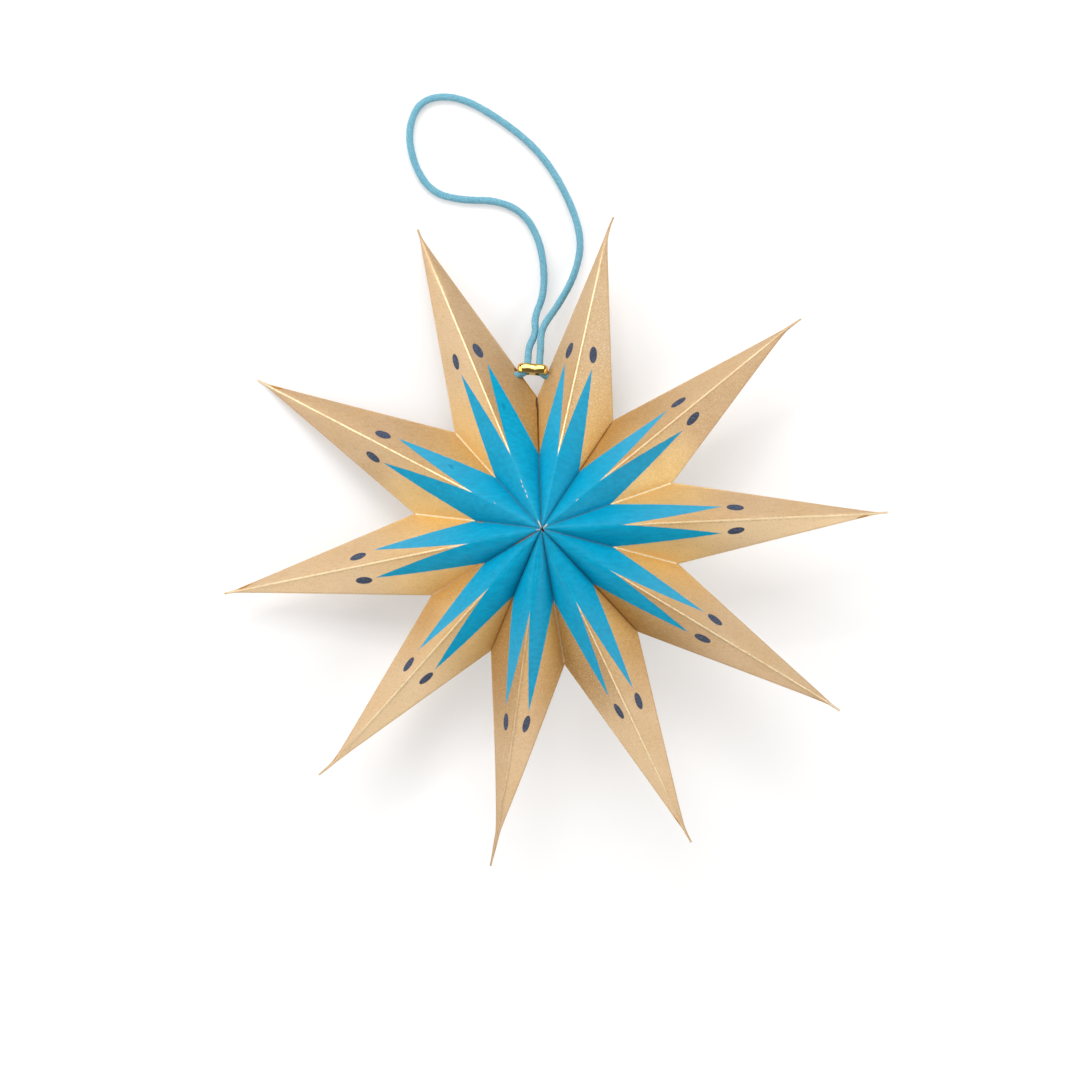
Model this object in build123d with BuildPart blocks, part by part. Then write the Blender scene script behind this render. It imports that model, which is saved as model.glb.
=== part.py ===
"""A ten pointed folded paper star that hangs from a cord loop, lying as it rests on a table.

Each point is a hollow form of folded paper: four outer facets, two webs that are glued to
the neighbours' webs, and a thin pinched spike at its tip. The first and the last point are
not glued to each other. A cord is knotted inside each of them, and a bead with two
channels slides down its two strands and holds that seam shut. All sizes are millimetres.
The origin is on the table, under the middle of the star.
"""
import os
from math import cos, pi, radians, sin, tan

from build123d import *

os.makedirs("parts", exist_ok=True)

# Star, with its points numbered clockwise from the right side of the seam
point_count = 10
point_reach = 98.5
notch_radius = 39.5
half_depth = 17.5
first_point_angle = 79.5
paper = 0.3
hub_radius = 1.4
seam_gap = 0.5

# How each point of this hand folded star departs from the even shape
reach_change = [-1.5, -1, 0.5, 0.5, 0, -1, -1.5, -0.5, 1.5, 2.5]
tip_swing = [0.5, -2, -3.5, -2, 0, 2, 3.5, 2.5, 0.5, -1.5]
notch_change = [-0.5, 0, -0.5, -1, -1.5, -2, -1, 1, 2.5, 2]
notch_swing = [0, -2, -1.5, 0, 0.5, 2.5, 1.5, 1, -1, -2]
spike_curl = [-1, -0.5, 0, 0.5, 0.5, 0, 1, 1, 1.2, 0.8]

# Pinched spike beyond the place where a point's four facets meet
spike_length = 6
spike_root_length = 3.5
spike_root_width = 1.2
spike_root_height = 1.1
spike_end_width = 0.6
spike_end_height = 0.8

# Cord, its holes in the folded edges beside the seam and its knots inside the points
cord_diameter = 2.1
hole_clearance = 0.25
left_hole_from_notch = 7.5
right_hole_from_notch = 6
hole_lift = 0.45
knot_diameter = 4.4
knot_clearance = 0.25
knot_to_cord = 0.05

# Sliding bead with two channels
bead_width = 9.1
bead_thickness = 3.6
bead_length = 2.9
bead_end_radius = 1.7
bead_rim_radius = 0.5
channel_spacing = 4
channel_clearance = 0.15
waist_depth = 0.3
waist_radius = 2.2
bead_from_notch = 10.9
bead_lift = 0.6
bead_slope = 3
bead_turn = -4.7

# Centre line of the cord: its bends before the bead, its straight length after the bead
# and hand chosen points of the free loop, from its left strand to its right one
bend_before_bead = 1.7
straight_after_bead = 4.5
loop_points = [
    (-4.8, 60.8, 7.6),
    (-5.2, 65.9, 5.3),
    (-2.6, 72.1, 2.8),
    (-2.2, 80, 1.3),
    (-3.7, 89.3, 1.1),
    (-8.3, 97.4, 1.1),
    (-16.4, 101.2, 1.1),
    (-26.9, 101.2, 1.1),
    (-35.9, 103.4, 1.1),
    (-41.3, 111.5, 1.1),
    (-43.3, 122.3, 1.1),
    (-39.4, 131.6, 1.1),
    (-28.4, 132.7, 1.1),
    (-15.5, 125.6, 1.1),
    (-3.6, 115.9, 1.1),
    (4.4, 103.4, 1.1),
    (9.2, 89.9, 1.2),
    (7.1, 79, 2.2),
    (2.1, 69.7, 4.7),
    (-3.2, 62.4, 7.9),
]


def spot(angle, radius, height=0):
    """A place in the star's own frame."""
    return Vector(radius * cos(radians(angle)), radius * sin(radians(angle)), height)


def tip_angle(number):
    return first_point_angle - number * 360 / point_count + tip_swing[number]


def notch_angle(number):
    """Angle of the notch that follows a point, going clockwise."""
    even = first_point_angle - (number + 0.5) * 360 / point_count
    return even + notch_swing[number]


def tip_radius(number):
    return point_reach + reach_change[number]


def facet_end(number):
    """Distance from the hub to where a point's four facets meet."""
    return tip_radius(number) - spike_length


def star_plane_at_rest():
    """The star's middle plane as it lies on its hub and the two points left of the seam."""
    low_points = [point_count - 2, point_count - 1]
    hub_angle = sum(tip_angle(number) for number in low_points) / 2
    hub_height = half_depth * (1 - hub_radius / facet_end(low_points[0]))
    hub_foot = spot(hub_angle, hub_radius, -hub_height)
    feet = [spot(tip_angle(n), tip_radius(n), -spike_end_height / 2) for n in low_points]
    under = (feet[1] - hub_foot).cross(feet[0] - hub_foot).normalized()
    if under.Z < 0:
        under = under * -1
    lean = Vector(-under.X, -under.Y, under.Z)
    height = -under.dot(hub_foot)
    over_hub = Plane(origin=(0, 0, height), x_dir=Vector(0, 1, 0).cross(lean), z_dir=lean)
    tips = [
        over_hub.from_local_coords(spot(tip_angle(n), tip_radius(n)))
        for n in range(point_count)
    ]
    middle_x = (min(tip.X for tip in tips) + max(tip.X for tip in tips)) / 2
    middle_y = (min(tip.Y for tip in tips) + max(tip.Y for tip in tips)) / 2
    return Plane(origin=(-middle_x, -middle_y, height), x_dir=over_hub.x_dir, z_dir=lean)


star = star_plane_at_rest()


def placed(local):
    """A place of the star's own frame, where it lies on the table."""
    return star.from_local_coords(local)


def turned(local):
    """A direction of the star's own frame, where it lies on the table."""
    return placed(local) - star.origin


def notch_spot(number):
    """The notch after a point; a number below zero counts from the seam."""
    number = number % point_count
    return spot(notch_angle(number), notch_radius + notch_change[number])


def facet_plane(number, notch, side):
    """Outer plane of one facet, on the front for a side of 1 and on the back for -1."""
    hub = spot(0, 0, side * half_depth)
    end = spot(tip_angle(number), facet_end(number))
    normal = (notch - hub).cross(end - hub)
    if normal.Z * side < 0:
        normal = normal * -1
    return Plane(origin=placed(hub), x_dir=turned(end - hub), z_dir=turned(normal))


def web_plane(angle, outward_turn, at_seam):
    """Outer plane of one glued web, kept back by half the gap where the seam is open."""
    outward = spot(angle + outward_turn, 1)
    plane = Plane(origin=star.origin, x_dir=turned(spot(angle, 1)), z_dir=turned(outward))
    return plane.offset(-seam_gap / 2) if at_seam else plane


def limiting_planes(number):
    """The six planes that bound a point, with their normals outward."""
    right = notch_spot(number)
    left = notch_spot(number - 1)
    facets = [
        facet_plane(number, notch, side) for notch in (right, left) for side in (1, -1)
    ]
    right_web = web_plane(notch_angle(number), -90, number == point_count - 1)
    left_web = web_plane(notch_angle(number - 1 if number else -1), 90, number == 0)
    return facets + [right_web, left_web]


def folded_form(number, inset):
    """A point's closed form, with each of its walls moved in by inset."""
    with BuildPart(star) as form:
        Cylinder(radius=tip_radius(number), height=2 * half_depth)
        for plane in limiting_planes(number):
            split(bisect_by=plane.offset(-inset), keep=Keep.BOTTOM)
    return form.part


def spike_section(number, radius, share):
    """Plane, width and height of the pinched spike at a distance from the hub."""
    along = spot(tip_angle(number), 1)
    across = spot(tip_angle(number) + 90, 1)
    centre = along * radius + across * (spike_curl[number] * share**2)
    plane = Plane(origin=placed(centre), x_dir=turned(across), z_dir=turned(along))
    width = spike_root_width + share * (spike_end_width - spike_root_width)
    height = spike_root_height + share * (spike_end_height - spike_root_height)
    return plane, width, height


def seam_edge(number):
    """Unit direction of the folded edge that a point beside the seam turns to it."""
    return (spot(tip_angle(number), facet_end(number)) - notch_spot(-1)).normalized()


def middle_between_edges(from_notch):
    """Middle between the seam's two folded edges, at one distance along both."""
    both = seam_edge(0) + seam_edge(point_count - 1)
    return notch_spot(-1) + both * (from_notch / 2)


def bead_place():
    """Plane across the bead's channels, with its normal along them and away from the hub."""
    centre = middle_between_edges(bead_from_notch) + Vector(0, 0, bead_lift)
    along = spot(bead_turn + 90, cos(radians(bead_slope)), -sin(radians(bead_slope)))
    return Plane(origin=placed(centre), x_dir=turned(spot(bead_turn, 1)), z_dir=turned(along))


def channel_side(number):
    """Sideways place of the channel that holds the strand from a point beside the seam."""
    return channel_spacing / 2 if number == 0 else -channel_spacing / 2


def bend_place(number):
    """Where the cord bends between its hole and the bead."""
    before = -bead_length / 2 - bend_before_bead
    return bead_place().from_local_coords((channel_side(number), 0, before))


def hole_plane(number):
    """Plane at the cord's hole beside the seam, with its normal along the cord, outward."""
    from_notch = right_hole_from_notch if number == 0 else left_hole_from_notch
    local = notch_spot(-1) + seam_edge(number) * from_notch + Vector(0, 0, hole_lift)
    return Plane(origin=placed(local), z_dir=bend_place(number) - placed(local))


def knot_plane(number):
    """Plane at the knot's middle, as near behind the hole as the folded paper allows."""
    hole = hole_plane(number)
    depths = []
    for plane in limiting_planes(number):
        wall = plane.offset(-paper)
        slope = hole.z_dir.dot(wall.z_dir)
        beyond = (hole.origin - wall.origin).dot(wall.z_dir)
        if slope > 0:
            depths.append((beyond + knot_diameter / 2 + knot_clearance) / slope)
    return hole.offset(-max(depths))


def star_point(number):
    """One folded paper point, hollow and open in a slit at the hub."""
    with BuildPart() as point:
        add(folded_form(number, 0))
        add(folded_form(number, paper), mode=Mode.SUBTRACT)
        with BuildSketch(star):
            Circle(hub_radius)
        extrude(amount=half_depth, both=True, mode=Mode.SUBTRACT)
        root = facet_end(number) - spike_root_length
        length = tip_radius(number) - root
        for share in (0, 0.5, 1):
            plane, width, height = spike_section(number, root + share * length, share)
            with BuildSketch(plane):
                with BuildLine():
                    corners = [(width / 2, 0), (0, height / 2), (-width / 2, 0), (0, -height / 2)]
                    Polyline(*corners, close=True)
                make_face()
        loft(ruled=True)
        if number in (0, point_count - 1):
            with BuildSketch(hole_plane(number)):
                Circle(cord_diameter / 2 + hole_clearance)
            extrude(amount=cord_diameter * 2, both=True, mode=Mode.SUBTRACT)
    return point.part


def knot_flat():
    """Distance from the knot's middle to its flat, which is as wide as the cord."""
    return ((knot_diameter / 2) ** 2 - (cord_diameter / 2) ** 2) ** 0.5


def inner_knot(number):
    """The knot inside a point beside the seam, with a flat where the cord leaves it."""
    place = knot_plane(number)
    with BuildPart(place) as knot:
        Sphere(knot_diameter / 2)
        split(bisect_by=place.offset(knot_flat()), keep=Keep.BOTTOM)
    return knot.part


def slide_bead():
    """A rounded bar with two channels side by side and a shallow waist between them."""
    place = bead_place()
    half_length = bead_length / 2
    with BuildPart() as bead:
        with BuildSketch(place):
            RectangleRounded(bead_width, bead_thickness, bead_end_radius)
        extrude(amount=half_length, both=True)
        faces = bead.faces().sort_by(Axis(place.origin, place.z_dir))
        fillet(faces[0].edges() + faces[-1].edges(), bead_rim_radius)
        with BuildSketch(place):
            with GridLocations(0, bead_thickness + 2 * (waist_radius - waist_depth), 1, 2):
                Circle(waist_radius)
            with GridLocations(channel_spacing, 0, 2, 1):
                Circle(cord_diameter / 2 + channel_clearance)
        extrude(amount=half_length, both=True, mode=Mode.SUBTRACT)
    return bead.part


def cord_end(number):
    """The cord's last three places, from the knot in a point to beyond the bead."""
    after = bead_length / 2 + straight_after_bead
    return [
        knot_plane(number).offset(knot_flat() + knot_to_cord).origin,
        bend_place(number),
        bead_place().from_local_coords((channel_side(number), 0, after)),
    ]


def bend_radii(points):
    """Bend radius at each inner point: the largest before the bead, large elsewhere."""
    radii = []
    for before, here, after in zip(points, points[1:], points[2:]):
        half_turn = radians((here - before).get_angle(after - here) / 2)
        shorter = min((here - before).length, (after - here).length)
        radii.append(0.45 * shorter / tan(half_turn))
        if here in (points[1], points[-2]):
            radii[-1] = 0.95 * bend_before_bead / tan(half_turn)
    return radii


def hanging_cord():
    """The cord as one tube along its route."""
    points = cord_end(point_count - 1) + [Vector(*place) for place in loop_points]
    points = points + cord_end(0)[::-1]
    radii = bend_radii(points)
    with BuildPart() as cord:
        with BuildLine():
            route = FilletPolyline(*points, radius=radii)
        with BuildSketch(Plane(origin=route @ 0, z_dir=route % 0)):
            Circle(cord_diameter / 2)
        sweep()
    print("cord points", [tuple(round(value, 2) for value in point) for point in points])
    print("cord radii", [round(radius, 1) for radius in radii])
    print("cord length", round(route.length, 1), "cord volume", round(cord.part.volume, 1))
    print("section times length", round(pi * cord_diameter**2 / 4 * route.length, 1))
    return cord.part


def keep(part, name):
    part.label = name
    export_step(part, f"parts/{name}.step")


for number in range(point_count):
    keep(star_point(number), f"star_point_{number + 1:02d}")
keep(slide_bead(), "slide_bead")
keep(inner_knot(point_count - 1), "left_knot")
keep(inner_knot(0), "right_knot")
keep(hanging_cord(), "hanging_cord")
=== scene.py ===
"""A ten pointed folded paper star with a cord loop and a slide bead, as it lies on a table.

Every size and place is in millimetres and every angle that has a name is in degrees. The
points are numbered clockwise from the right side of the open seam, and their shapes are
worked out in the star's own frame: its middle plane, with the hub at its origin.
"""
from math import cos, pi, radians, sin, tan

import bpy
import numpy as np
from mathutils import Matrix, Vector
from mathutils.geometry import tessellate_polygon


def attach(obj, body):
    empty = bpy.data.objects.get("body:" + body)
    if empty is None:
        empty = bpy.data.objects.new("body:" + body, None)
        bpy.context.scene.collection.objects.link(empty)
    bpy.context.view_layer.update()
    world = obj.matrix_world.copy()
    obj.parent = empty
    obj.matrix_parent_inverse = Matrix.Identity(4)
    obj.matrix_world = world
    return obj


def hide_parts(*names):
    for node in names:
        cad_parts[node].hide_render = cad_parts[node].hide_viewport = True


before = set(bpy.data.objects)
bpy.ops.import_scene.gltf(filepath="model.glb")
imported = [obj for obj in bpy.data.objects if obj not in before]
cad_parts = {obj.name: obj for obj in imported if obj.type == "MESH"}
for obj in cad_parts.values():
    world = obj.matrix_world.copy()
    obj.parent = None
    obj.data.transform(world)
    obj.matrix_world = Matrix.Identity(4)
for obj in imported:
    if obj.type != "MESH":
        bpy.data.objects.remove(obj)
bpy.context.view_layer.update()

MM = 0.001

# Star, as in the solid model
POINT_COUNT = 10
POINT_REACH = 98.5
NOTCH_RADIUS = 39.5
HALF_DEPTH = 17.5
FIRST_POINT_ANGLE = 79.5
HUB_RADIUS = 1.4
SPIKE_LENGTH = 6
SPIKE_END_HEIGHT = 0.8
REACH_CHANGE = [-1.5, -1, 0.5, 0.5, 0, -1, -1.5, -0.5, 1.5, 2.5]
TIP_SWING = [0.5, -2, -3.5, -2, 0, 2, 3.5, 2.5, 0.5, -1.5]
NOTCH_CHANGE = [-0.5, 0, -0.5, -1, -1.5, -2, -1, 1, 2.5, 2]
NOTCH_SWING = [0, -2, -1.5, 0, 0.5, 2.5, 1.5, 1, -1, -2]

# Open seam: its gap, which is narrower than in the solid model, the share of it that is open
# near the hub, and the distances along the point between which it opens fully
SEAM_GAP = 0.16
SEAM_OPEN_AT_HUB = 0.35
SEAM_OPENS = (18, 34)

# Pinched spikes: how far before the solid's tip each one starts and how far past it it ends,
# how far it curls sideways and over what length, its half sizes, and how it tapers
SPIKE_REACH = [5.2, 4.5, 2.5, 2.5, 3.5, 8, 5, 2, 2, 2]
SPIKE_EXTRA = 0.5
SPIKE_CURL = [-1, -0.6, 0, -0.35, 0.3, -1, -0.6, 0.1, -0.1, -0.3]
CURL_LENGTH = [9.5, 9.5, 9.5, 9.5, 9.5, 40, 9.5, 9.5, 9.5, 9.5]
CURL_POWER = 2.2
SPIKE_HALF_WIDTH = 0.5
SPIKE_HALF_HEIGHT = 0.42
SPIKE_TAPER = 0.7
SPIKE_TAPER_LENGTH = 9
SPIKE_FLATTENING = 0.4

# Paper form: rounding of its folds, swelling of its facets and where each point starts
FOLD_HALF_THICKNESS = 0.13
RIDGE_ROUND = 0.28
HUB_RIDGE_ROUND = [0.45, 0.45, 0.5, 0.8, 1.1, 1.3, 1, 0.6, 0.5, 0.45]
HUB_ROUND_FADES = (4, 24)
ROUNDING_LIMIT = 0.4
VALLEY_ROUND = 0.25
VALLEY_DEPTH = 0.16
FULL_VALLEY_HEIGHT = 1.5
HUB_DIP = 1.1
HUB_DIP_LENGTH = 1.6
SWELL = 0.7
SWELL_SHARE = [0.07, 0.07, 0.08, 0.11, 0.12, 0.12, 0.11, 0.09, 0.08, 0.07]
SWELL_STARTS = (1, 12)
SWELL_FADES = (24, 50)
SWELL_FADE = 0.75
HUB_START = [0.35, 0.5, 0.3, 0.9, 1.0, 0.45, 0.35, 0.4, 0.35, 0.3]

# Print: how far the blue and the dots reach on each point, along it and off its ridge, where
# the gold starts on its ridge and in its valley, and the dots' half sizes and lean
SPEAR_TIP = [50.9, 50.3, 51.4, 51.3, 51.6, 51.8, 51, 51.7, 53.2, 54.3]
SPEAR_RIGHT = [4, 3.5, 3.4, 3.5, 3.4, 3.7, 3.9, 4.3, 4.2, 3.9]
SPEAR_LEFT = [4.4, 4.1, 4.5, 3.9, 4, 3.3, 3.6, 3.9, 4.2, 4.6]
SPEAR_TIP_STEP = 0.3
PRINT_BOW = 0.25
RIDGE_GOLD = [22.3, 21.9, 23, 23.3, 23.1, 23.8, 23.2, 22.5, 23.7, 24.4]
VALLEY_GOLD = [20.3, 20.7, 20.3, 20.6, 20, 20.7, 19.8, 20.9, 22, 23.2]
DOT_RIGHT_PLACE = [54.8, 54.5, 55.4, 55.1, 56.2, 56.1, 55.5, 56.2, 57.4, 58.7]
DOT_LEFT_PLACE = [55, 54.5, 55.6, 55.4, 55.8, 55.8, 54.9, 55.7, 57, 58.6]
DOT_RIGHT = [3.5, 2.8, 2.9, 2.9, 2.5, 2.9, 3.1, 3.1, 3.1, 2.8]
DOT_LEFT = [3.8, 3.8, 4, 3.6, 3.9, 3.1, 3.4, 4, 4.1, 4.6]
DOT_RIGHT_WIDTH = [1.01, 0.93, 0.82, 0.87, 0.83, 0.82, 0.97, 1.05, 1.12, 1.09]
DOT_LEFT_WIDTH = [0.95, 0.88, 0.98, 0.91, 0.89, 0.86, 0.78, 0.91, 0.95, 0.93]
DOT_HALF_LENGTH = 2.52
DOT_LEAN = -0.13

# How worn each ridge, valley and folded edge is, from 0 to 1, and where negative, how much painted
# shade darkens its fold
RIDGE_WEAR = [0.85, 0.7, 0.75, 0.9, 0.85, 0.5, 0.75, 0.85, 0.9, 0.85]
VALLEY_WEAR_AND_SHADE = [-0.5, 1, 1, -0.5, 0.5, -0.3, 0.4, 0.9, 0.8, -0.3]
EDGE_PAINTED_SHADE = -0.12

# How much of that wear each ridge still shows at its tip
TIP_WEAR = [0.05, 0.6, 1, 0.9, 0.15, 0.1, 0.3, 0.9, 1, 0.2]

# How much painted shade darkens the blue in each valley, and how far from its fold that fades
VALLEY_SHADE = [0.5, 0.3, 0.5, 0.8, 0.9, 0.9, 0.7, 0.4, 0.5, 0.6]
VALLEY_SHADE_WIDTH = 0.7

# How much painted shade browns and darkens the gold on each side of each point, and how many
# painted glints speckle it, from 0 to 1
PAINTED_SHADE_RIGHT = [0.12, 0.3, 0, 0.4, 0.45, 0.45, 0, 0, 0.4, 0.45]
PAINTED_SHADE_LEFT = [0.3, 0.3, 0.22, 0.15, 0.25, 0.3, 0, 0, 0.25, 0.08]
PAINTED_GLINT_RIGHT = [0.9, 0.5, 0.3, 0.3, 0.6, 0.4, 0.3, 0.25, 0.3, 0.3]
PAINTED_GLINT_LEFT = [0.4, 0.3, 0.3, 0.3, 0.4, 0.3, 0.3, 0.3, 0.3, 0.3]

# Painted light on the gold beside each side's valley, and painted shade where negative
PAINTED_LIGHT_RIGHT = [0, 0.7, 0.7, 0, -0.5, -0.7, -0.75, 0, 0.1, -0.2]
PAINTED_LIGHT_LEFT = [0, -0.6, 0.35, 0.05, -0.3, -0.4, 0.1, 0.3, 0.7, 0.15]

# Painted light, and painted shade where negative, for the rest of each side out to its tip, and
# where it takes over
OUTER_PAINTED_LIGHT_RIGHT = [-0.1, -0.38, 0.55, 0, 0.38, -0.12, 0, -0.1, -0.35, -0.12]
OUTER_PAINTED_LIGHT_LEFT = [0, -0.1, -0.15, 0, 0, -0.1, 0.38, 0.18, -0.15, 0]
OUTER_STARTS = (40, 60)

# How much of the painted light and shade beside a valley is lost away from its fold, and at what
# distances
PAINTED_LIGHT_LOSS = 0.75
PAINTED_LIGHT_FADES = (2, 10)

# How much painted sheen pales the blue towards the end of its spear on each side, and where that
# starts
PAINTED_SHEEN_RIGHT = [0.5, 0.35, 0, 0, 0.4, 0.95, 0.9, 1.2, 0.95, 0]
PAINTED_SHEEN_LEFT = [0.7, 1.2, 1.2, 1.2, 0.7, 0.1, 0, 0, 0.1, 0.35]
PAINTED_SHEEN_STARTS = (16, 46)

# Paints and dyes, and colours of painted light, shade, sheen and glints, as picture colours from 0
# to 255
GOLD = (214, 186, 150)
# deeper gold near the hub, partly painted reflected light between facets
GOLD_DEEP_AND_REFLECTED = (237, 187, 90)
GOLD_CLOUD = (212, 174, 122)
GOLD_STREAK = (194, 150, 92)
# painted shade beside the ridge near the hub
GOLD_PAINTED_SHADE_BY_RIDGE = (172, 128, 68)
GOLD_TIP = (203, 172, 138)
# painted light on the gold, and painted shade below it
GOLD_PAINTED_LIGHT = (255, 224, 158)
GOLD_PAINTED_LIGHT_OUTER = (255, 226, 181)
GOLD_PAINTED_SIDE_SHADE = (150, 98, 36)
# painted shade on the darker facets of the gold
GOLD_PAINTED_FACET_SHADE = (128, 84, 26)
GOLD_SPECK = (172, 128, 72)
# near-white specks painted as glints of the pearl paint
GOLD_PAINTED_GLINT = (252, 234, 196)
BLUE = (0, 145, 182)
BLUE_WASH = (0, 157, 195)
BLUE_MOTTLE = (40, 168, 202)
# painted shade in the blue of the deep valleys
BLUE_PAINTED_VALLEY_SHADE = (0, 84, 122)
# painted sheen on the lit blue facets
BLUE_PAINTED_SHEEN = (120, 168, 196)
NAVY = (60, 69, 90)
NAVY_HATCH = (98, 104, 116)
# painted shadow beside each ridge
RIDGE_PAINTED_SHADOW = (150, 106, 54)
RIDGE_ON_GOLD = (255, 236, 196)
RIDGE_ON_BLUE = (84, 182, 212)
FOLD_LIGHT = (255, 246, 222)
# painted shade along dark folds
FOLD_PAINTED_SHADE = (128, 84, 34)
MARK_CREAM = (232, 212, 186)
# brown of the marks, also used as painted shadow near the tips
MARK_BROWN_AND_TIP_SHADOW = (174, 116, 30)
MARK_ON_GOLD = (72, 44, 18)
MARK_ON_BLUE = (0, 112, 146)
BARE_PAPER = (214, 178, 138)
COTTON_DARK = (80, 144, 168)
COTTON_LIGHT = (138, 194, 212)
COTTON_FIBRE = (150, 208, 222)
COTTON_WIDE = (96, 166, 190)
COTTON_SPECK = (58, 98, 122)
PLATE = (238, 192, 96)
PLATE_LIGHT = (248, 210, 124)

# Marks by kind: their point and side, how far along it and how far off its ridge (off its
# valley or edge where negative), and half their length and width
CREAM_MARKS = [
    (9, 1, 15.6, 0.1, 0.7, 0.13),
    (9, 1, 14, 0.3, 0.6, 0.13),
    (9, 1, 12.4, 0.1, 0.6, 0.13),
    (9, 1, 10.8, 0.25, 0.7, 0.13),
    (9, 1, 1.6, 0, 1.4, 0.2),
    (9, -1, 1.6, 0, 1.4, 0.2),
    (1, -1, 1.3, 0.1, 1, 0.2),
    (1, 1, 1.3, 0, 1, 0.15),
    (7, 1, 0.9, 0, 0.7, 0.2),
    (8, -1, 16.1, 0.3, 0.4, 0.13),
    (8, 1, 28, 0.5, 0.4, 0.13),
    (1, -1, 13.2, 0.1, 0.5, 0.13),
]
BROWN_MARKS_AND_TIP_SHADOWS = [
    (7, -1, 18.3, -0.3, 1.1, 0.25),
    (6, -1, 5, -0.1, 4.2, 0.16),
    (7, 1, 5, -0.05, 4.2, 0.1),
    (9, -1, 43.5, -0.1, 5, 0.35),
    # these six paint the shadow where the seam flap gapes open near each tip
    (7, -1, 92, -0.2, 2.2, 0.45),
    (8, -1, 94, -0.2, 2, 0.4),
    (2, -1, 92.2, -0.2, 2, 0.25),
    (4, -1, 91.5, -0.1, 2, 0.2),
    (6, -1, 90.5, -0.1, 1.6, 0.2),
    (3, -1, 92, -0.1, 1.6, 0.12),
]
DARK_MARKS = [
    (9, -1, 38, -0.1, 1.8, 0.38),
    (9, -1, 30, -0.05, 9, 0.12),
    (0, 1, 36, -0.05, 4, 0.12),
    (9, -1, 49.8, -0.25, 0.7, 0.4),
    (9, -1, 39, 3.6, 2, 0.5),
    (8, -1, 33.7, 4.1, 1.2, 0.4),
]

# Camera: straight above the star
CAMERA_PLACE = (-3.55, -0.52, 900)
CAMERA_LENS = 99.9
CAMERA_SENSOR = 36
CAMERA_SEES = (10, 20000)

# Lamps: name, angle around the star, rise above it, width, height and power in watts
LAMP_DISTANCE = 900
LAMPS = [
    ("left_window", 180, 30, 1300, 600, 5.6),
    ("right_window", 350, 30, 900, 600, 5.2),
    ("top_window", 97, 42, 1000, 600, 6.4),
    ("near_card", 265, 10, 1300, 220, 3.4),
    ("bright_strip", 105, 40, 300, 30, 0.8),
]

# Sky and table: their strengths, and the share of the table's look that is plain paleness
SKY_STRENGTH = 0.15
FLOOR_HALF_SIZE = 3000
FLOOR_COLOUR = (0.97, 0.96, 0.955, 1)
FLOOR_PALE_COLOUR = (1, 0.99, 0.985, 1)
FLOOR_PALENESS = 0.3
FLOOR_PALE_STRENGTH = 1.05

# Cord: its line from knot to knot, as in the solid model apart from its two ends, which
# leave the paper and turn up to the bead as in the photo
CORD_DIAMETER = 2.1
CORD_POINTS = [
    (-14.4, 47.1, 9),
    (-11.4, 48.25, 9.7),
    (-8.85, 48.5, 10.9),
    (-7.3, 49.9, 11.3),
    (-7.2, 52.3, 10.7),
    (-6.85, 56.8, 9.5),
    (-4.8, 60.8, 7.6),
    (-5.2, 65.9, 5.3),
    (-2.6, 72.1, 2.8),
    (-2.2, 80, 1.3),
    (-3.7, 89.3, 1.1),
    (-8.3, 97.4, 1.1),
    (-16.4, 101.2, 1.1),
    (-26.9, 101.2, 1.1),
    (-35.9, 103.4, 1.1),
    (-41.3, 111.5, 1.1),
    (-43.3, 122.3, 1.1),
    (-39.4, 131.6, 1.1),
    (-28.4, 132.7, 1.1),
    (-15.5, 125.6, 1.1),
    (-3.6, 115.9, 1.1),
    (4.4, 103.4, 1.1),
    (9.2, 89.9, 1.2),
    (7.1, 79, 2.2),
    (2.1, 69.7, 4.7),
    (-3.2, 62.4, 7.9),
    (-3.37, 56.5, 10),
    (-3.6, 53.05, 10.6),
    (-3.75, 50.2, 11.3),
    (-2.6, 48.2, 11.2),
    (-0.45, 47.65, 10.6),
    (1.9, 47.35, 10.3),
]
KNOT_RADIUS = 1.8


# The star's own frame

def spot(angle, radius, height=0.0):
    return np.array([radius * cos(radians(angle)), radius * sin(radians(angle)), height])


def tip_angle(number):
    return FIRST_POINT_ANGLE - number * 360 / POINT_COUNT + TIP_SWING[number]


def tip_radius(number):
    return POINT_REACH + REACH_CHANGE[number]


def facet_end(number):
    return tip_radius(number) - SPIKE_LENGTH


def unit(vector):
    return vector / np.linalg.norm(vector)


def star_frame():
    """The star's origin and axes as it lies on its hub and the two points left of the seam."""
    low_points = [POINT_COUNT - 2, POINT_COUNT - 1]
    hub_angle = sum(tip_angle(number) for number in low_points) / 2
    hub_height = HALF_DEPTH * (1 - HUB_RADIUS / facet_end(low_points[0]))
    hub_foot = spot(hub_angle, HUB_RADIUS, -hub_height)
    feet = [spot(tip_angle(n), tip_radius(n), -SPIKE_END_HEIGHT / 2) for n in low_points]
    under = unit(np.cross(feet[1] - hub_foot, feet[0] - hub_foot))
    under = under * np.sign(under[2])
    z_axis = np.array([-under[0], -under[1], under[2]])
    x_axis = unit(np.cross([0, 1, 0], z_axis))
    axes = np.array([x_axis, np.cross(z_axis, x_axis), z_axis])
    tips = np.array([spot(tip_angle(n), tip_radius(n)) for n in range(POINT_COUNT)]) @ axes
    middle = (tips.min(axis=0) + tips.max(axis=0)) / 2
    return np.array([-middle[0], -middle[1], -under @ hub_foot]), axes


star_origin, star_axes = star_frame()


def placed(local):
    """Places of the star's own frame, where it lies on the table."""
    return star_origin + np.asarray(local) @ star_axes


def notch_polar(number):
    """Angle and radius of the notch that follows a point."""
    even = FIRST_POINT_ANGLE - (number + 0.5) * 360 / POINT_COUNT
    return even + NOTCH_SWING[number], NOTCH_RADIUS + NOTCH_CHANGE[number]


def smooth_step(value, low, high):
    share = np.clip((value - low) / (high - low), 0, 1)
    return share * share * (3 - 2 * share)


# Paper points

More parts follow.
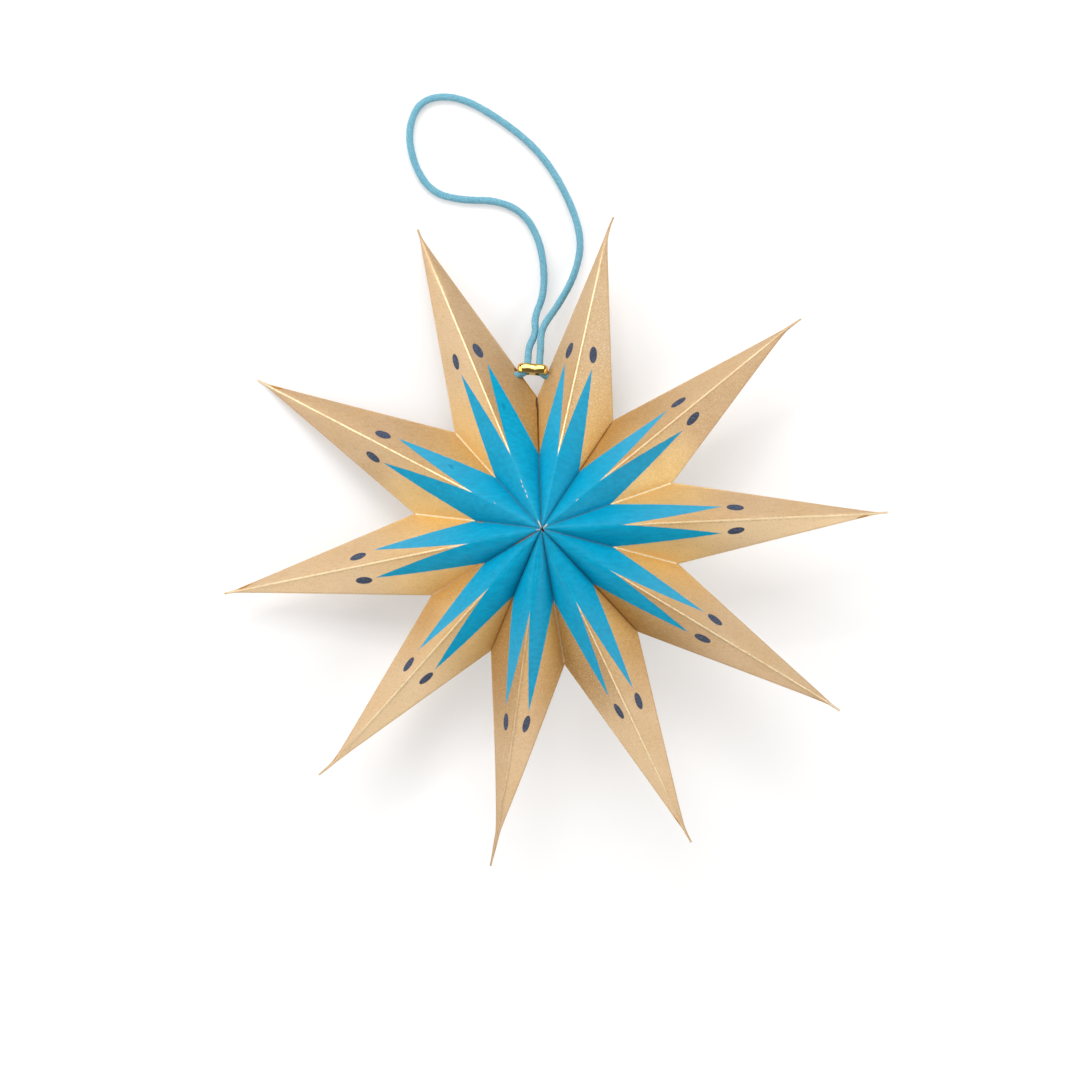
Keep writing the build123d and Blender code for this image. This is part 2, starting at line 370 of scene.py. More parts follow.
class Side:
    """One side of a point: its notch, and the outline and slope of its facets."""

    def __init__(self, number, sign):
        self.sign = sign
        self.number = number
        self.valley = number if sign < 0 else (number - 1) % POINT_COUNT
        angle, radius = notch_polar(self.valley)
        turn = radians((angle - tip_angle(number)) * sign % 360)
        self.at_seam = self.valley == POINT_COUNT - 1
        self.turn = turn
        self.notch_x = radius * cos(turn)
        self.notch_y = radius * sin(turn)
        self.end = tip_radius(number) - SPIKE_REACH[number]
        self.tip = tip_radius(number) + SPIKE_EXTRA
        self.slope = ridge_height(self.notch_x, self.end) / self.notch_y

    def pick(self, right_values, left_values):
        """The value that a pair of lists has for this side of this point."""
        return (right_values if self.sign < 0 else left_values)[self.number]

    def half_width(self, x):
        """Distance from the ridge to the valley or the folded edge, seen from above."""
        opening = SEAM_OPEN_AT_HUB + (1 - SEAM_OPEN_AT_HUB) * smooth_step(x, *SEAM_OPENS)
        gap = SEAM_GAP / 2 * opening if self.at_seam else 0
        valley = x * tan(self.turn) - gap / cos(self.turn)
        left = np.clip((self.end - x) / (self.end - self.notch_x), 0, None)
        taper = SPIKE_TAPER * smooth_step(x, self.tip - SPIKE_TAPER_LENGTH, self.tip)
        spike = SPIKE_HALF_WIDTH * (1 - taper)
        edge = np.sqrt((self.notch_y * left) ** 2 + spike**2)
        return np.where(x < self.notch_x, np.minimum(valley, edge), edge)


def ridge_height(x, end):
    """Height of a point's ridge above the star's middle plane."""
    flat = HALF_DEPTH * np.clip(1 - x / end, 0, None)
    flattening = SPIKE_FLATTENING * smooth_step(x, end, end + SPIKE_LENGTH)
    spike = SPIKE_HALF_HEIGHT * (1 - flattening)
    return np.sqrt(flat**2 + spike**2)


def facet_height(side, x, y, width, front):
    """Height of the paper at a distance y from the ridge, rounded, swollen and uneven."""
    ridge = ridge_height(x, side.end)
    slope = np.where(x < side.notch_x, side.slope, ridge / width)
    at_hub = 1 - smooth_step(x, *HUB_ROUND_FADES)
    hub_round = HUB_RIDGE_ROUND[side.number]
    rounding = RIDGE_ROUND + (hub_round - RIDGE_ROUND) * at_hub
    rounding = np.minimum(rounding, ROUNDING_LIMIT * width)
    height = ridge - slope * np.sqrt(y**2 + rounding**2)
    height = height - HUB_DIP * np.exp(-x / HUB_DIP_LENGTH)
    share = np.clip(y / width, 0, 1)
    swell = smooth_step(x, *SWELL_STARTS) * (1 - SWELL_FADE * smooth_step(x, *SWELL_FADES))
    swell = np.minimum(SWELL * swell, SWELL_SHARE[side.number] * width)
    height = height + swell * 4 * share * (1 - share)
    web = ridge - slope * width
    depth = VALLEY_DEPTH * smooth_step(web, 0, FULL_VALLEY_HEIGHT)
    height = height - depth * np.exp((y - width) / VALLEY_ROUND)
    away_from_folds = smooth_step(share, 0, 0.2) * (1 - smooth_step(share, 0.75, 1))
    height = height + unevenness(side, x, y, front) * away_from_folds
    return np.sqrt(np.clip(height, 0, None) ** 2 + FOLD_HALF_THICKNESS**2)


def unevenness(side, x, y, front):
    """Three low waves across a facet, which lie differently on each facet."""
    key = side.number * 2.3 + side.sign * 0.9 + front * 0.7
    waves = 0.09 * np.sin(0.19 * x + key) * np.sin(0.33 * y + 1.7 * key)
    waves = waves + 0.05 * np.sin(0.43 * x - 0.37 * y + 2.1 * key)
    return waves + 0.03 * np.sin(0.9 * x + 0.5 * y + 3.1 * key)


STEPS_ACROSS = 20
STEPS_OF_FOLD = 5
STATIONS = 190
STATION_CLEARANCE = 0.2
CLOSENESS_POWER = 1.7

# Codes of a point's facets, folds and end faces
RIGHT_FRONT, RIGHT_BACK, LEFT_BACK, LEFT_FRONT, RIGHT_FOLD, LEFT_FOLD, HUB_END, TIP_END = range(8)
RIGHT_CODES = (RIGHT_FRONT, RIGHT_BACK, RIGHT_FOLD)
LEFT_CODES = (LEFT_FRONT, LEFT_BACK, LEFT_FOLD)


def shares_across():
    """Shares from the ridge to the fold, close together at both."""
    even = np.arange(1, STEPS_ACROSS + 1) / STEPS_ACROSS
    near = even**CLOSENESS_POWER
    return near / (near + (1 - even) ** CLOSENESS_POWER)


def ring(right, left, x):
    """One section of a point, as a loop of places around it that starts at its front ridge."""
    share = shares_across()
    quarters = ((right, 1, True), (right, -1, False), (left, -1, True), (left, 1, False))
    parts = []
    for side, front, outward in quarters:
        width = float(side.half_width(x))
        y = np.concatenate([[0], share]) * width
        z = facet_height(side, x, y, width, front) * front
        rows = np.stack([np.full_like(y, x), y * side.sign, z], axis=1)
        parts.append(rows if outward else rows[::-1])
    right_fold = fold_rows(parts[0][-1], parts[1][0], right, x)
    left_fold = fold_rows(parts[2][-1], parts[3][0], left, x)
    return np.concatenate(
        [parts[0], right_fold, parts[1][:-1], parts[2], left_fold, parts[3][:-1]]
    )


def fold_rows(first, last, side, x):
    """Places between a front facet's edge and the back one's, bulging a little outward."""
    share = np.arange(1, STEPS_OF_FOLD + 1)[:, None] / (STEPS_OF_FOLD + 1)
    rows = first + (last - first) * share
    width = float(side.half_width(x))
    bulge = FOLD_HALF_THICKNESS * smooth_step(x, side.notch_x - 1, side.notch_x + 1)
    outward = bulge * np.sqrt(1 - (2 * share[:, 0] - 1) ** 2)
    rows[:, 1] = side.sign * (width + outward)
    return rows


def ring_facets():
    """For each strip between neighbours of a ring: which of the facets or folds it is."""
    across = STEPS_ACROSS
    fold = STEPS_OF_FOLD + 1
    one_side = [RIGHT_FRONT] * across + [RIGHT_FOLD] * fold + [RIGHT_BACK] * across
    other_side = [LEFT_BACK] * across + [LEFT_FOLD] * fold + [LEFT_FRONT] * across
    return one_side + other_side


def stations(number, right, left):
    """Distances along a point at which its sections are: closer together at both ends, at
    each notch, and never nearly at the same place."""
    start = HUB_START[number]
    even = np.linspace(0, 1, STATIONS)
    spread = 0.5 * even + 0.5 * (1 - np.cos(pi * even)) / 2
    x = start + (right.tip - start) * spread
    notches = np.array([right.notch_x, left.notch_x])
    if abs(notches[0] - notches[1]) < STATION_CLEARANCE:
        notches = notches[:1]
    clear = np.abs(x[:, None] - notches).min(axis=1) > STATION_CLEARANCE
    return np.sort(np.concatenate([x[clear], notches]))


def line_distance(x, y, start, end, bow):
    """Signed distance to a print's edge, positive above it, with the edge bowed upward."""
    along = np.array(end) - np.array(start)
    length = np.hypot(*along)
    across = (along[0] * (y - start[1]) - along[1] * (x - start[0])) / length
    share = np.clip((x - start[0]) / along[0], 0, 1)
    return across - bow * 4 * share * (1 - share)


def print_values(side, x, y):
    """Distances inside the two edges of a side's blue, and the place on its dot."""
    valley_start = VALLEY_GOLD[side.valley]
    corner = (valley_start * cos(side.turn), valley_start * sin(side.turn))
    reach = SPEAR_TIP[side.number] + SPEAR_TIP_STEP * side.sign
    tip = (reach, side.pick(SPEAR_RIGHT, SPEAR_LEFT))
    inside_outer = -line_distance(x, y, corner, tip, PRINT_BOW)
    inside_ridge = line_distance(x, y, (RIDGE_GOLD[side.number], 0), tip, -PRINT_BOW)
    dx = x - side.pick(DOT_RIGHT_PLACE, DOT_LEFT_PLACE)
    dy = y - side.pick(DOT_RIGHT, DOT_LEFT)
    along = (dx + DOT_LEAN * dy) / DOT_HALF_LENGTH
    across = (dy - DOT_LEAN * dx) / side.pick(DOT_RIGHT_WIDTH, DOT_LEFT_WIDTH)
    return inside_outer, inside_ridge, along, across


def point_object(number):
    """One paper point as a closed mesh that carries its print's measures."""
    right = Side(number, -1)
    left = Side(number, 1)
    xs = stations(number, right, left)
    rings = np.array([ring(right, left, x) for x in xs])
    count, size = rings.shape[:2]
    local = rings.reshape(-1, 3)
    faces, facets = tube_faces(count, size, ring_facets())
    x, y, z = local.T
    curl_share = np.clip(1 - (tip_radius(number) - x) / CURL_LENGTH[number], 0, None)
    y = y + SPIKE_CURL[number] * curl_share**CURL_POWER
    angle = radians(tip_angle(number))
    turned_x = x * cos(angle) - y * sin(angle)
    turned_y = x * sin(angle) + y * cos(angle)
    turned = np.stack([turned_x, turned_y, z], axis=1)
    mesh = mesh_from(f"paper_point_{number + 1:02d}", placed(turned), faces)
    corner_data(mesh, local, facets, right, left, number)
    return mesh


def tube_faces(count, size, strip_facets):
    """Faces of a closed tube: its strips and both ends, and the facet of each face."""
    first, last = end_loops(0, count, size)
    faces = strip_faces(0, count, size) + [first[::-1], last]
    return faces, strip_facets * (count - 1) + [HUB_END, TIP_END]


def end_loops(start, count, size):
    """The vertices of the first and of the last ring in a row of rings."""
    last = start + (count - 1) * size
    return list(range(start, start + size)), list(range(last, last + size))


def strip_faces(start, count, size):
    """Quads between neighbours of a row of rings, from the vertex that they start at."""
    faces = []
    for row in range(count - 1):
        for column in range(size):
            a = start + row * size + column
            b = start + row * size + (column + 1) % size
            faces.append((a, b, b + size, a + size))
    return faces


def mesh_from(name, places, faces):
    """A smooth shaded object whose vertices are given in millimetres of the row's frame."""
    mesh = bpy.data.meshes.new(name)
    mesh.from_pydata((np.asarray(places) * MM).tolist(), [], faces)
    mesh.polygons.foreach_set("use_smooth", [True] * len(mesh.polygons))
    mesh.update()
    piece = bpy.data.objects.new(name, mesh)
    bpy.context.scene.collection.objects.link(piece)
    return piece


# What corner_data writes, what it writes where there is no print, and how far before its
# notch a web ends
MEASURES = ("place", "ink", "dot", "tint", "worn", "crease", "painted_light_and_sheen")
NO_INK = (-1, -1, 0)
NO_DOT = (9, 9, 0)
WEB_CLEARANCE = 0.4


def corner_data(piece, local, facets, right, left, number):
    """Writes the measures that the paper's material reads, one vector for each face corner:

    place: along the point, from its ridge, from its fold
    ink: inside the blue's outer edge, inside its edge by the ridge, wear of the ridge
    dot: along and across the dot in its half sizes, wear of the fold, which is painted shade where
    negative
    tint: painted shade, painted glints, bare paper of a web or the hub
    worn: cream, brown and dark marks, the brown ones near the tips being painted shadow
    crease: painted shade in the blue by the valley, distance from the tip, wear of the ridge at
    the tip
    painted light and sheen: painted light on the gold, painted shade where negative, painted sheen
    on the blue
    """
    mesh = piece.data
    corner_vertex = np.empty(len(mesh.loops), dtype=int)
    mesh.loops.foreach_get("vertex_index", corner_vertex)
    totals = np.empty(len(mesh.polygons), dtype=int)
    mesh.polygons.foreach_get("loop_total", totals)
    corner_facet = np.repeat(np.array(facets), totals)
    x = local[corner_vertex, 0]
    y = np.abs(local[corner_vertex, 1])
    measures = np.zeros((len(MEASURES), len(x), 3))
    place, ink, dot, tint, worn, crease, painted_light_and_sheen = measures
    for side, codes in ((right, RIGHT_CODES), (left, LEFT_CODES)):
        chosen = np.isin(corner_facet, codes)
        cx, cy = x[chosen], y[chosen]
        outer, inner, along, across = print_values(side, cx, cy)
        from_fold = side.half_width(cx) - cy
        # wear of the fold, and painted shade where negative
        wear_and_shade = np.where(cx < side.notch_x, VALLEY_WEAR_AND_SHADE[side.valley], EDGE_PAINTED_SHADE)
        place[chosen] = np.stack([cx, cy, from_fold], axis=1)
        ink[chosen] = np.stack([outer, inner, np.full_like(cx, RIDGE_WEAR[number])], axis=1)
        dot[chosen] = np.stack([along, across, wear_and_shade], axis=1)
        # painted shade and painted glints of each side's gold
        tint[chosen, 0] = side.pick(PAINTED_SHADE_RIGHT, PAINTED_SHADE_LEFT)
        tint[chosen, 1] = side.pick(PAINTED_GLINT_RIGHT, PAINTED_GLINT_LEFT)
        worn[chosen] = mark_values(side, cx, cy, from_fold)
        # painted shade in the blue by each valley
        crease[chosen, 0] = VALLEY_SHADE[side.valley] * np.exp(-from_fold / VALLEY_SHADE_WIDTH)
        crease[chosen, 1] = right.tip - cx
        crease[chosen, 2] = TIP_WEAR[number]
        # painted light and shade on the gold, and painted sheen on the blue
        painted_light_and_sheen[chosen, 0] = side_painted_light(side, cx, from_fold)
        painted_light_and_sheen[chosen, 1] = side.pick(PAINTED_SHEEN_RIGHT, PAINTED_SHEEN_LEFT) * smooth_step(cx, *PAINTED_SHEEN_STARTS)
    ends = np.isin(corner_facet, (HUB_END, TIP_END))
    place[ends] = np.stack([x[ends], y[ends], y[ends] * 0], axis=1)
    ink[ends] = NO_INK
    dot[ends] = NO_DOT
    notch = np.where(np.isin(corner_facet, RIGHT_CODES), right.notch_x, left.notch_x)
    web = np.isin(corner_facet, (RIGHT_FOLD, LEFT_FOLD)) & (x < notch - WEB_CLEARANCE)
    tint[:, 2] = web | (corner_facet == HUB_END)
    for name, values in zip(MEASURES, measures):
        layer = mesh.attributes.new(name, "FLOAT_VECTOR", "CORNER")
        layer.data.foreach_set("vector", values.astype(np.float32).ravel())


def side_painted_light(side, x, from_fold):
    """Painted light on a side's gold, and painted shade where negative."""
    outer_share = smooth_step(x, *OUTER_STARTS)
    beside_valley = (1 - PAINTED_LIGHT_LOSS * smooth_step(from_fold, *PAINTED_LIGHT_FADES)) * (1 - outer_share)
    light = side.pick(PAINTED_LIGHT_RIGHT, PAINTED_LIGHT_LEFT) * beside_valley
    return light + side.pick(OUTER_PAINTED_LIGHT_RIGHT, OUTER_PAINTED_LIGHT_LEFT) * outer_share


def mark_values(side, x, y, from_fold):
    """How much of each kind of mark there is at places of a side."""
    values = np.zeros((len(x), 3))
    for kind, marks in enumerate((CREAM_MARKS, BROWN_MARKS_AND_TIP_SHADOWS, DARK_MARKS)):
        for number, sign, mark_x, off, half_length, half_width in marks:
            if (number, sign) != (side.number, side.sign):
                continue
            across = y - off if off >= 0 else from_fold + off
            amount = np.exp(-(((x - mark_x) / half_length) ** 2) - (across / half_width) ** 2)
            values[:, kind] = np.maximum(values[:, kind], amount)
    return values


# Node materials

class Nodes:
    """Builds one material's nodes; sockets or plain values go in, sockets come out."""

    def __init__(self, name):
        self.material = bpy.data.materials.new(name)
        self.material.use_nodes = True
        self.tree = self.material.node_tree
        self.shader = self.tree.nodes["Principled BSDF"]

    def put(self, value, socket):
        """Links a socket, or sets a number or a paint."""
        if isinstance(value, bpy.types.NodeSocket):
            self.tree.links.new(value, socket)
        else:
            socket.default_value = rgb(value) if isinstance(value, tuple) else value

    def math(self, operation, *values):
        node = self.tree.nodes.new("ShaderNodeMath")
        node.operation = operation
        for value, socket in zip(values, node.inputs):
            self.put(value, socket)
        return node.outputs[0]

    def ramp(self, value, low, high, start=0.0, end=1.0):
        """A smooth change from start to end as value goes from low to high."""
        node = self.tree.nodes.new("ShaderNodeMapRange")
        node.interpolation_type = "SMOOTHSTEP"
        for given, socket in zip((value, low, high, start, end), node.inputs):
            self.put(given, socket)
        return node.outputs[0]

    def mix(self, share, first, second):
        """The first colour, with a share of the second over it."""
        node = self.tree.nodes.new("ShaderNodeMix")
        node.data_type = "RGBA"
        self.put(share, node.inputs[0])
        self.put(first, node.inputs[6])
        self.put(second, node.inputs[7])
        return node.outputs[2]

    def product(self, *values):
        """All the values multiplied."""
        result = values[0]
        for value in values[1:]:
            result = self.math("MULTIPLY", result, value)
        return result

    def mix_value(self, share, first, second):
        """A number between first and second."""
        return self.math("ADD", first, self.product(share, second - first))

    def attribute(self, name):
        """The three parts of a stored vector."""
        node = self.tree.nodes.new("ShaderNodeAttribute")
        node.attribute_name = name
        split = self.tree.nodes.new("ShaderNodeSeparateXYZ")
        self.tree.links.new(node.outputs["Vector"], split.inputs[0])
        return split.outputs

    def object_place(self, scale=(1, 1, 1), turn=0.0):
        """Places on the object, in units of a millimetre over scale."""
        coordinates = self.tree.nodes.new("ShaderNodeTexCoord")
        mapping = self.tree.nodes.new("ShaderNodeMapping")
        mapping.inputs["Scale"].default_value = [part / MM for part in scale]
        mapping.inputs["Rotation"].default_value = (0, 0, turn)
        self.tree.links.new(coordinates.outputs["Object"], mapping.inputs[0])
        return mapping.outputs[0]

    def noise(self, place, scale, detail=3.0, rough=0.6):
        node = self.tree.nodes.new("ShaderNodeTexNoise")
        self.put(place, node.inputs["Vector"])
        node.inputs["Scale"].default_value = scale
        node.inputs["Detail"].default_value = detail
        node.inputs["Roughness"].default_value = rough
        return node.outputs[0]

    def bump(self, height, strength, distance):
        node = self.tree.nodes.new("ShaderNodeBump")
        node.inputs["Strength"].default_value = strength
        node.inputs["Distance"].default_value = distance * MM
        self.put(height, node.inputs["Height"])
        return node.outputs[0]


def rgb(paint):
    """A picture colour from 0 to 255, as the shader's linear colour."""
    parts = []
    for value in paint:
        value = value / 255
        parts.append(value / 12.92 if value <= 0.04045 else ((value + 0.055) / 1.055) ** 2.4)
    return (*parts, 1)


def paper_material():
    """Pearl gold paint on paper, with the blue and navy print, worn folds, and painted light,
    shade, sheen and glints.
    """
    n = Nodes("printed_paper")
    along, from_ridge, from_fold = n.attribute("place")
    inside_outer, inside_ridge, ridge_wear = n.attribute("ink")
    dot_along, dot_across, fold_wear_and_shade = n.attribute("dot")
    # the tint's first two parts are the gold's painted shade and its painted glints
    shade, painted_glint_amount, bare = n.attribute("tint")
    cream, brown, dark = n.attribute("worn")
    crease, from_tip, tip_wear = n.attribute("crease")
    # painted light on the gold, painted shade where negative, and painted sheen on the blue
    light, pale, _ = n.attribute("painted_light_and_sheen")
    plain = n.object_place()
    grain = n.noise(plain, 3.2, 2.0, 0.7)
    mottle = n.noise(plain, 0.9, 4.0, 0.65)
    cloud = n.noise(plain, 0.09, 3.0, 0.5)
    ragged = n.noise(plain, 1.5, 3.0, 0.75)
    brush = n.noise(n.object_place((0.3, 1.9, 1), radians(24)), 1.0, 3.0, 0.6)

    # Gold paint: deeper towards the hub and its folds, which partly paints the warm light the
    # facets reflect onto each other there; streaked, speckled, with painted light, painted shade
    # and painted glints in places
    near_hub = n.ramp(along, 28, 60, 1, 0)
    # deeper gold near the hub and by its folds, partly painted reflected light between facets
    deep_and_reflected = n.product(near_hub, n.ramp(from_fold, 0, 11, 0.75, 0.4))
    # painted shade beside the ridge near the hub
    painted_shade_by_ridge = n.product(n.ramp(from_ridge, 0.3, 2.4, 0.3, 0), near_hub)
    # painted light beside the valleys and towards the tips, and painted shade where negative
    painted_light_paint = n.mix(n.ramp(along, 38, 58), GOLD_PAINTED_LIGHT, GOLD_PAINTED_LIGHT_OUTER)
    painted_side_shade = n.math("MAXIMUM", n.product(light, -1.0), 0.0)
    # painted shade: the darker facets browned in mottled patches, most towards the hub
    painted_facet_shade = n.product(shade, n.ramp(along, 42, 68, 1, 0.45), n.ramp(mottle, 0.3, 0.65, 0.75, 1))
    specks = n.noise(plain, 2.1, 1.0)
    # painted glints: pale specks that stand for light caught by the pearl flakes
    painted_glints = n.product(n.ramp(n.noise(plain, 3.6, 1.0), 0.55, 0.7, 0, 0.75), painted_glint_amount)
    gold = n.mix(deep_and_reflected, GOLD, GOLD_DEEP_AND_REFLECTED)
    for share, paint in (
        (n.ramp(cloud, 0.35, 0.7, 0, 0.25), GOLD_CLOUD),
        (n.ramp(brush, 0.42, 0.75, 0, 0.28), GOLD_STREAK),
        (painted_shade_by_ridge, GOLD_PAINTED_SHADE_BY_RIDGE),
        (n.ramp(from_tip, 2, 22, 0.6, 0), GOLD_TIP),
        (n.math("MAXIMUM", light, 0.0), painted_light_paint),
        (n.product(painted_side_shade, 0.5), GOLD_PAINTED_SIDE_SHADE),
        (painted_facet_shade, GOLD_PAINTED_FACET_SHADE),
        (n.ramp(specks, 0.58, 0.74, 0, 0.3), GOLD_SPECK),
        (painted_glints, GOLD_PAINTED_GLINT),
    ):
        gold = n.mix(share, gold, paint)

    # Blue print
    wash = n.noise(n.object_place((0.25, 0.9, 1), radians(-30)), 1.0, 3.0, 0.6)
    blue = n.mix(n.ramp(wash, 0.3, 0.7), BLUE, BLUE_WASH)
    blue = n.mix(n.ramp(mottle, 0.55, 0.75, 0, 0.4), blue, BLUE_MOTTLE)
    # painted shade in the blue of the valleys, strongest near the hub
    painted_valley_shade = n.product(crease, n.ramp(along, 8, 36, 0.7, 0.15))
    blue = n.mix(painted_valley_shade, blue, BLUE_PAINTED_VALLEY_SHADE)
    # painted sheen that pales the blue on its lit facets
    blue = n.mix(n.product(pale, 0.2), blue, BLUE_PAINTED_SHEEN)
    wobble = n.product(n.math("SUBTRACT", n.noise(plain, 0.8, 2.0), 0.5), 0.24)
    inside = n.math("ADD", n.math("MINIMUM", inside_outer, inside_ridge), wobble)
    in_blue = n.ramp(inside, -0.08, 0.08)
    colour = n.mix(in_blue, gold, blue)

    # Navy dots
    square = n.math("ADD", n.math("POWER", dot_along, 2.0), n.math("POWER", dot_across, 2.0))
    in_dot = n.ramp(n.math("ADD", square, n.product(wobble, 0.5)), 0.94, 1.1, 1, 0)
    hatch = n.noise(n.object_place((1.2, 5, 1), radians(35)), 1.0, 2.0)
    navy = n.mix(n.ramp(hatch, 0.45, 0.75), NAVY, NAVY_HATCH)
    colour = n.mix(in_dot, colour, navy)

    # Painted shadow: a broken dark line beside each ridge, which fades towards the tip
    beside = n.math("ABSOLUTE", n.math("SUBTRACT", from_ridge, 0.5))
    beside = n.product(
        n.ramp(beside, 0.05, 0.2, 0.4, 0),
        n.ramp(ragged, 0.42, 0.6),
        n.mix_value(in_blue, 1, 0),
        n.ramp(from_tip, 12, 42, 0.1, 1),
    )
    colour = n.mix(beside, colour, RIDGE_PAINTED_SHADOW)

    # Light lines along worn ridges
    ridge_width = n.product(ragged, n.mix_value(in_blue, 0.36, 0.2))
    ridge_width = n.product(ridge_width, n.math("ADD", 0.35, ridge_wear))
    on_ridge = n.ramp(n.math("SUBTRACT", from_ridge, ridge_width), -0.12, 0.07, 1, 0)
    broken = n.ramp(n.noise(plain, 0.55, 2.0), 0.3, 0.5, 0.45, 1)
    ridge_share = n.product(
        on_ridge,
        n.product(broken, ridge_wear),
        n.mix_value(in_blue, 0.95, 0.18),
        n.ramp(from_tip, 8, 24, tip_wear, 1),
    )
    ridge_paint = n.mix(in_blue, RIDGE_ON_GOLD, RIDGE_ON_BLUE)
    colour = n.mix(ridge_share, colour, ridge_paint)

    # Light lines of wear along some valleys, and painted shade as dark lines along other valleys
    # and the folded edges
    on_fold = n.ramp(n.math("SUBTRACT", from_fold, n.product(ragged, 0.5)), -0.12, 0.07, 1, 0)
    light_wear = n.product(n.math("MAXIMUM", fold_wear_and_shade, 0.0), n.mix_value(in_blue, 0.95, 0.06))
    fold_light = n.product(on_fold, light_wear)
    colour = n.mix(fold_light, colour, FOLD_LIGHT)
    # painted shade along folds whose wear is negative
    painted_fold_shade_amount = n.math("MAXIMUM", n.product(fold_wear_and_shade, -1.0), 0.0)
    painted_fold_shade = n.product(painted_fold_shade_amount, on_fold, n.mix_value(in_blue, 1, 0.2))
    colour = n.mix(painted_fold_shade, colour, FOLD_PAINTED_SHADE)

    # Marks, among them painted shadow near the tips, and bare paper where there is no print
    uneven = n.product(n.math("SUBTRACT", ragged, 0.5), 1.1)
    dark_paint = n.mix(in_blue, MARK_ON_GOLD, MARK_ON_BLUE)
    for amount, paint, share in (
        (cream, MARK_CREAM, 0.8),
        (brown, MARK_BROWN_AND_TIP_SHADOW, 0.8),
        (dark, dark_paint, n.mix_value(in_blue, 0.8, 0.5)),
    ):
        there = n.ramp(n.math("ADD", amount, uneven), 0.3, 0.6, 0, share)
        there = n.product(there, n.ramp(amount, 0.03, 0.12))
        colour = n.mix(there, colour, paint)
    colour = n.mix(bare, colour, BARE_PAPER)
    n.put(colour, n.shader.inputs["Base Color"])

    # Sheen and relief: only the gold is a little metallic
    painted_gold = n.product(*(n.math("SUBTRACT", 1.0, part) for part in (in_blue, in_dot)))
    n.put(n.product(painted_gold, 0.55), n.shader.inputs["Metallic"])
    n.shader.inputs["Specular IOR Level"].default_value = 0.12
    gloss = n.math("ADD", n.product(grain, 0.2), n.mix_value(in_blue, 0.42, 0.3))
    n.put(gloss, n.shader.inputs["Roughness"])
    coarse = n.product(grain, n.mix_value(painted_gold, 0.3, 1.1))
    relief = n.math("ADD", coarse, n.product(brush, 0.8))
    relief = n.math("ADD", relief, n.product(mottle, 0.6))
    n.put(n.bump(relief, 0.6, 0.12), n.shader.inputs["Normal"])
    return n.material


def cord_material():
    """Soft light blue cotton with fibres that run along it."""
    n = Nodes("blue_cotton")
    run, turn, _ = n.attribute("lay")
    plain = n.object_place()
    fine = n.noise(plain, 3.4, 3.0, 0.7)
    wide = n.noise(plain, 0.7, 2.0)
    fibre_place = n.tree.nodes.new("ShaderNodeCombineXYZ")
    n.put(n.product(run, 0.9), fibre_place.inputs[0])
    n.put(n.product(turn, 3.2), fibre_place.inputs[1])
    fibre = n.noise(fibre_place.outputs[0], 1.0, 3.0, 0.65)
    colour = n.mix(n.ramp(fine, 0.3, 0.7), COTTON_DARK, COTTON_LIGHT)
    colour = n.mix(n.ramp(fibre, 0.45, 0.7, 0, 0.45), colour, COTTON_FIBRE)
    colour = n.mix(n.ramp(wide, 0.42, 0.7, 0, 0.4), colour, COTTON_WIDE)
    speck = n.ramp(n.noise(plain, 1.5, 1.0), 0.68, 0.75)
    colour = n.mix(n.product(speck, 0.55), colour, COTTON_SPECK)
    n.put(colour, n.shader.inputs["Base Color"])
    n.shader.inputs["Roughness"].default_value = 0.95
    n.shader.inputs["Specular IOR Level"].default_value = 0.2
    n.shader.inputs["Sheen Weight"].default_value = 0.15
    n.shader.inputs["Sheen Roughness"].default_value = 0.5
    relief = n.math("ADD", fine, n.product(fibre, 1.2))
    n.put(n.bump(relief, 0.85, 0.2), n.shader.inputs["Normal"])
    return n.material


def bead_material():
    """Polished gold plate with fine scratches."""
    n = Nodes("gold_plate")
    plain = n.object_place()
    scratch = n.noise(n.object_place((0.8, 9, 4), radians(BEAD_TURN)), 1.0, 3.0, 0.6)
    wide = n.noise(plain, 0.7, 2.0)
    colour = n.mix(n.ramp(wide, 0.3, 0.7), PLATE, PLATE_LIGHT)
    n.put(colour, n.shader.inputs["Base Color"])
    n.shader.inputs["Metallic"].default_value = 1
    n.put(n.math("ADD", n.product(scratch, 0.1), 0.05), n.shader.inputs["Roughness"])
    relief = n.math("ADD", wide, n.product(scratch, 0.2))
    n.put(n.bump(relief, 0.25, 0.08), n.shader.inputs["Normal"])
    return n.material


def floor_material():
    """A white sheet that the camera and glossy surfaces see a little paler than it is lit."""
    n = Nodes("white_table")
    n.shader.inputs["Base Color"].default_value = FLOOR_COLOUR
    n.shader.inputs["Roughness"].default_value = 0.9
    n.shader.inputs["Specular IOR Level"].default_value = 0
    pale = n.tree.nodes.new("ShaderNodeEmission")
    pale.inputs["Color"].default_value = FLOOR_PALE_COLOUR
    pale.inputs["Strength"].default_value = FLOOR_PALE_STRENGTH
    rays = n.tree.nodes.new("ShaderNodeLightPath")
    blend = n.tree.nodes.new("ShaderNodeMixShader")
    seen = n.math("MAXIMUM", rays.outputs["Is Camera Ray"], rays.outputs["Is Glossy Ray"])
    n.put(n.product(seen, FLOOR_PALENESS), blend.inputs[0])
    n.tree.links.new(n.shader.outputs[0], blend.inputs[1])
    n.tree.links.new(pale.outputs[0], blend.inputs[2])
    n.tree.links.new(blend.outputs[0], n.tree.nodes["Material Output"].inputs[0])
    return n.material


# Cord

